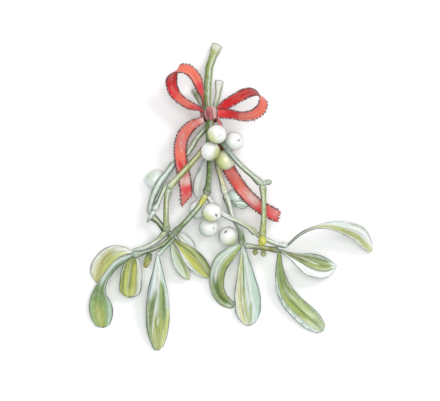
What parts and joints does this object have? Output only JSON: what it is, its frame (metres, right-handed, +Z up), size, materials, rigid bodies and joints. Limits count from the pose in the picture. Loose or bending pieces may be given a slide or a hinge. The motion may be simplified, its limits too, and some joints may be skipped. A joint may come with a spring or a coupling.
{
  "type": "mistletoe bunch",
  "caption": "Bunch of mistletoe lying flat: forked stems with leathery leaves and white berries, tied near the cut ends with a red picot ribbon bow.",
  "frame": {"origin": "centre of the bunch's footprint, on the surface that it lies on", "axes": "+Y from the leaf tips towards the cut stems, +X to the right as seen from above with the cut stems away, +Z up off the surface"},
  "size_m": [0.1551, 0.167, 0.0322],
  "materials": {
    "stem": "matte olive green bark",
    "leaf": "leathery leaf, satin",
    "berry": "waxy translucent white skin",
    "bud": "satin yellow green",
    "ribbon": "woven red picot ribbon"
  },
  "bodies": {
    "root": {"stem_main": "stem", "stem_left_upper": "stem", "stem_left_lower": "stem", "stem_left_elbow": "stem", "stem_right_upper": "stem", "stem_right_lower": "stem", "stem_inner_left": "stem", "stem_left_down": "stem", "stem_left_out": "stem", "stem_centre": "stem", "stem_centre_left": "stem", "stem_centre_right": "stem", "stem_inner_right": "stem", "stem_inner_right_lower": "stem", "stem_low_right": "stem", "stem_far_right": "stem", "stem_low_left": "stem", "stem_long_leaf": "stem", "stem_low_left_back": "stem", "stub_left": "stem", "stub_right": "stem", "leaf_long": "leaf", "leaf_left_droop": "leaf", "leaf_left_short": "leaf", "leaf_left_behind": "leaf", "leaf_inner_small": "leaf", "leaf_inner_broad": "leaf", "leaf_inner_back": "leaf", "leaf_curl": "leaf", "leaf_broad": "leaf", "leaf_right_long": "leaf", "leaf_right_side": "leaf", "leaf_right_arch": "leaf", "leaf_back_centre": "leaf", "leaf_young": "leaf", "berry_top": "berry", "berry_top_right": "berry", "berry_fork": "berry", "berry_under_fork": "berry", "berry_left": "berry", "berry_middle": "berry", "berry_middle_low": "berry", "berry_low": "berry", "berry_middle_left": "berry", "berry_behind_ribbon": "berry", "bud_left": "bud", "bud_right": "bud", "bud_low_left": "bud", "bud_low_right": "bud", "ribbon_band": "ribbon", "ribbon_knot": "ribbon", "ribbon_loop_left": "ribbon", "ribbon_loop_right": "ribbon", "ribbon_tail_left": "ribbon", "ribbon_tail_right": "ribbon"}
  },
  "joints": []
}
